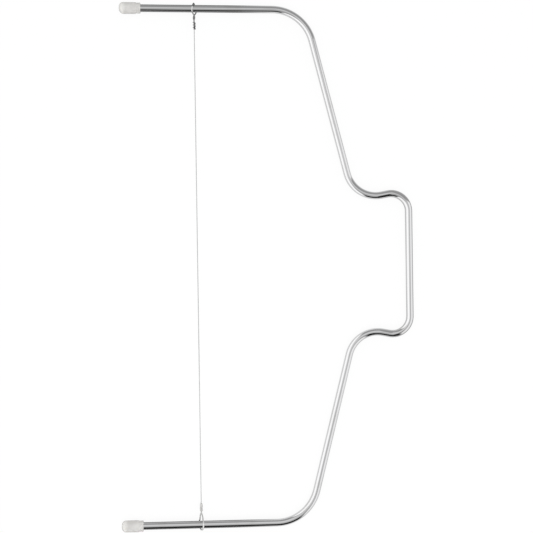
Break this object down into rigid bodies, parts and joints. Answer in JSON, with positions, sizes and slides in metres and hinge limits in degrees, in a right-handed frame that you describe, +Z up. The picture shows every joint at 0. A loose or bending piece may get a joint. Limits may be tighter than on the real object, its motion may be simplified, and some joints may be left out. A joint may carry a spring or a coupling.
{
  "type": "cake leveler",
  "caption": "Bent chrome rod frame with square handle, capped feet and a taut thin wire looped between its arms, for cutting cake into level layers.",
  "frame": {"origin": "middle of the tool in plan, on the surface that it lies flat on", "axes": "+X from the feet towards the handle, +Y from the lower arm towards the upper arm, +Z up from the surface"},
  "size_m": [0.1598, 0.2864, 0.0062],
  "materials": {
    "chrome_rod": "bright plated steel rod",
    "milky_vinyl": "soft milky vinyl, faintly see-through",
    "loop_steel": "drawn steel wire, bright",
    "fine_wire": "fine stainless wire",
    "crimp_metal": "dull plated crimp sleeve"
  },
  "bodies": {
    "frame_body": {"frame": "chrome_rod", "upper_foot": "milky_vinyl", "lower_foot": "milky_vinyl"},
    "upper_end": {"upper_loop": "loop_steel", "upper_wrap": "loop_steel"},
    "wire_set": {"cutting_wire": "fine_wire", "lower_loop": "loop_steel", "lower_sleeve": "crimp_metal"}
  },
  "joints": [
    {"name": "wire_height", "type": "slide", "parent": "frame_body", "child": "upper_end", "axis": [1, 0, 0], "range_m": [-0.0195, 0.034]},
    {"name": "wire_tilt", "type": "hinge", "parent": "upper_end", "child": "wire_set", "pos_m": [-0.03923, 0.1307, 0.0031], "axis": [0, 0, 1], "range_deg": [-1.95, 1.05]}
  ]
}
